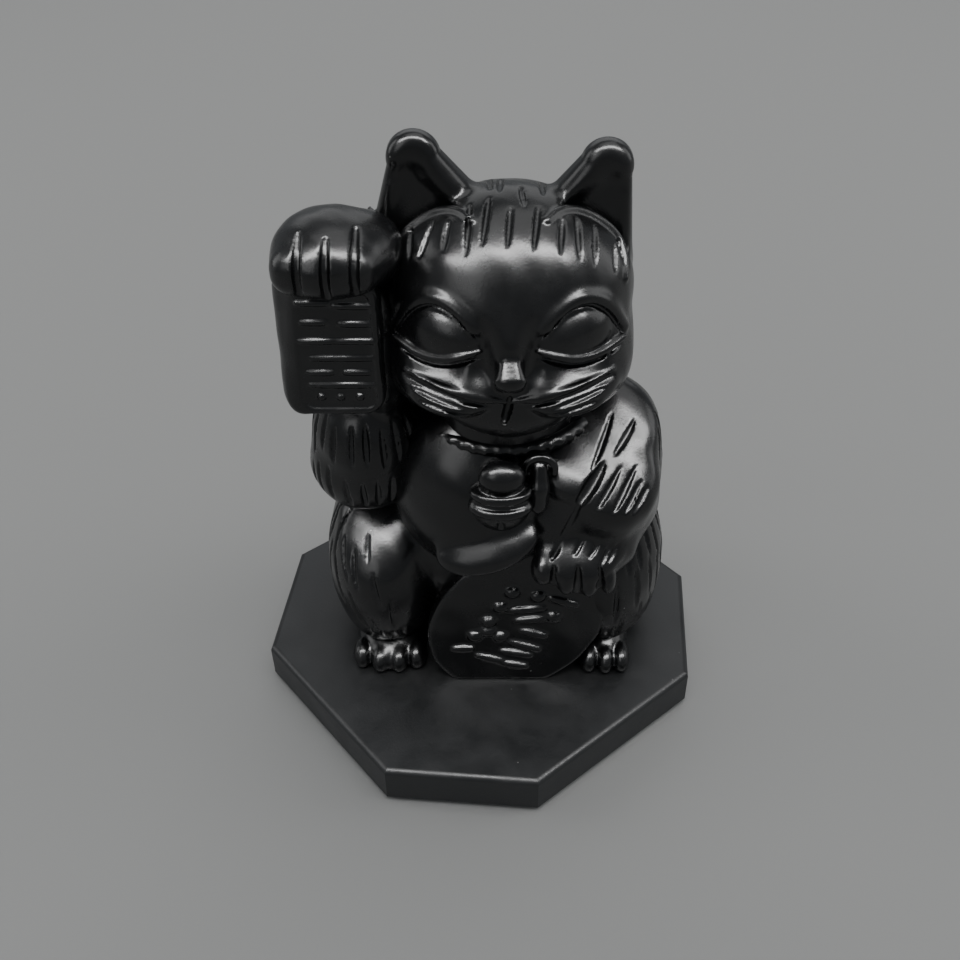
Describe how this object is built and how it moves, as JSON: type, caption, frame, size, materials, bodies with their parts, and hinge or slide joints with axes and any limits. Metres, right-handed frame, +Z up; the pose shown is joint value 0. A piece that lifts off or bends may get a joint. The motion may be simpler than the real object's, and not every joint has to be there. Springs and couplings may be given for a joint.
{
  "type": "beckoning cat figurine",
  "caption": "Small seated beckoning cat on an eight-sided plinth, one paw raised over a tablet, the other resting on a large oval coin.",
  "frame": {"origin": "on the surface it stands on, under the middle of the plinth", "axes": "+Z up, the cat looks along -Y, its raised right paw is at -X"},
  "size_m": [0.0614, 0.0614, 0.08],
  "materials": {
    "figure": "satin black resin, hand-worked, fine grain",
    "plinth": "satin black resin, softly polished",
    "felt": "pressed felt",
    "dowel": "plain birch"
  },
  "bodies": {
    "root": {"plinth": "plinth", "felt_pad": "felt", "body": "figure", "right_hind_foot": "figure", "left_hind_foot": "figure", "head": "figure", "bib": "figure", "collar": "figure", "bell": "figure", "bell_ribbon": "figure", "raised_arm": "figure", "tablet": "figure", "lowered_arm": "figure", "koban": "figure", "tail": "figure", "plinth_dowels": "dowel", "neck_dowel": "dowel", "arm_dowels": "dowel"}
  },
  "joints": []
}
